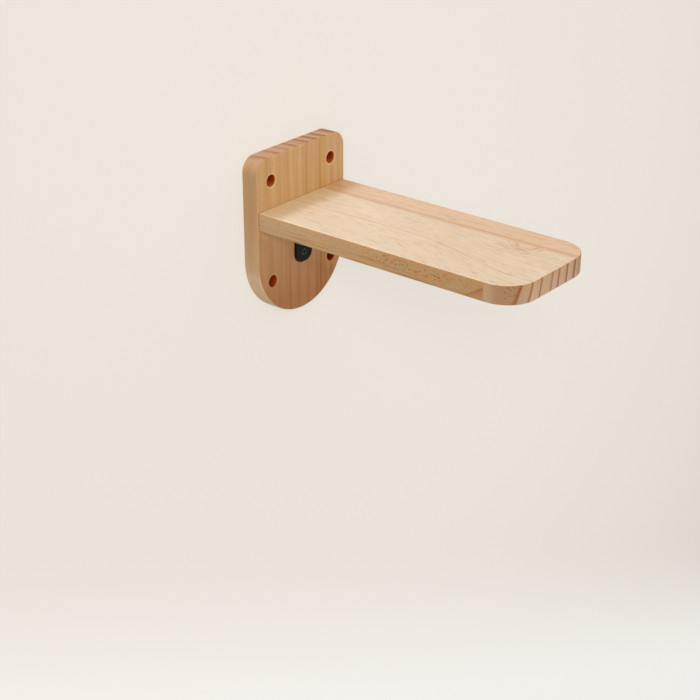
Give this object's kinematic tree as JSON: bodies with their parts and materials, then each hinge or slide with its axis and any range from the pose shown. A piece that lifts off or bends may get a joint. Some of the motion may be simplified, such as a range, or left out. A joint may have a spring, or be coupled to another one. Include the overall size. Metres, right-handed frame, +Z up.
{
  "type": "cat wall shelf",
  "caption": "Wall step for cats: round-cornered pine tread butted against a round-footed pine back plate with counterbored wall screw holes, stiffened below by a black pressed steel corner brace.",
  "frame": {"origin": "middle of the four wall screw holes, on the back face of the plate where it meets the wall", "axes": "+X along the wall to the right as seen from the room, +Y into the wall, +Z up; the tread points along -Y"},
  "size_m": [0.132, 0.319, 0.174],
  "materials": {
    "plate_pine": "clear satin lacquer",
    "tread_pine": "clear satin lacquer",
    "black_powder_coat": "satin black powder coat",
    "black_oxide_steel": "satin black",
    "zinc_steel": "bright zinc plate",
    "beech": "raw turned wood"
  },
  "bodies": {
    "root": {"back_plate": "plate_pine", "tread_board": "tread_pine", "corner_brace": "black_powder_coat", "brace_screw_plate_lower": "black_oxide_steel", "brace_screw_plate_upper": "black_oxide_steel", "brace_screw_tread_inner": "black_oxide_steel", "brace_screw_tread_outer": "black_oxide_steel", "joint_screw_left": "zinc_steel", "joint_screw_right": "zinc_steel", "dowel_left": "beech", "dowel_right": "beech"}
  },
  "joints": []
}
